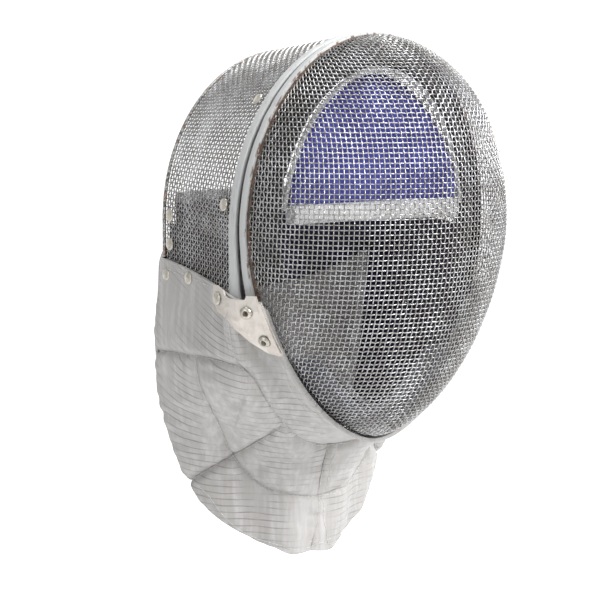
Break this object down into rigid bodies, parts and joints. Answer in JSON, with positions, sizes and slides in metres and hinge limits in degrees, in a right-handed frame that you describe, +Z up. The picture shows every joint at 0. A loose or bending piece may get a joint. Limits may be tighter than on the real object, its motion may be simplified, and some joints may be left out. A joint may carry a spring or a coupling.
{
  "type": "fencing mask",
  "caption": "Sabre fencing mask: domed woven wire face and open back mesh on a two-rail metal band, with a padded inside and a conductive cloth bib.",
  "frame": {"origin": "top of the wearer's head, where it touches the inside of the mask under the crown", "axes": "+Z up through the crown, -Y towards the face side, +X towards the wearer's left"},
  "size_m": [0.2124, 0.2084, 0.3532],
  "materials": {
    "wire": "woven bright wire, slightly worn",
    "rail": "satin, chipped to brown flecks at the edges",
    "web": "dull",
    "plate": "satin nickel",
    "rivet": "satin nickel",
    "screw": "satin nickel",
    "lame": "dull silver metallic weave",
    "navy": "matte",
    "blue": "matte",
    "black": "matte",
    "grey": "matte",
    "binding": "matte ribbed tape",
    "piping": "matte"
  },
  "bodies": {
    "root": {"back_edge": "rail", "back_mesh": "wire", "back_rail": "rail", "back_strap": "navy", "band_web": "web", "bib": "lame", "bib_rivet_left_1": "rivet", "bib_rivet_left_2": "rivet", "bib_rivet_right_1": "rivet", "bib_rivet_right_2": "rivet", "chin_pad": "grey", "chin_piping": "piping", "forehead_binding": "binding", "forehead_pad": "blue", "front_mesh": "wire", "front_rail": "rail", "lining_binding_left": "binding", "lining_binding_right": "binding", "lining_left": "navy", "lining_right": "navy", "lining_wing_left": "navy", "lining_wing_right": "navy", "mesh_rivet_left_1": "rivet", "mesh_rivet_left_2": "rivet", "mesh_rivet_left_3": "rivet", "mesh_rivet_left_4": "rivet", "mesh_rivet_right_1": "rivet", "mesh_rivet_right_2": "rivet", "mesh_rivet_right_3": "rivet", "mesh_rivet_right_4": "rivet", "pad_piping": "piping", "pad_ring": "black", "plate_lip_left": "plate", "plate_lip_right": "plate", "plate_rivet_left": "rivet", "plate_rivet_right": "rivet", "plate_screw_left_1": "screw", "plate_screw_left_2": "screw", "plate_screw_right_1": "screw", "plate_screw_right_2": "screw", "rear_flap_left": "lame", "rear_flap_right": "lame", "side_plate_left": "plate", "side_plate_right": "plate", "strap_binding": "binding"}
  },
  "joints": []
}
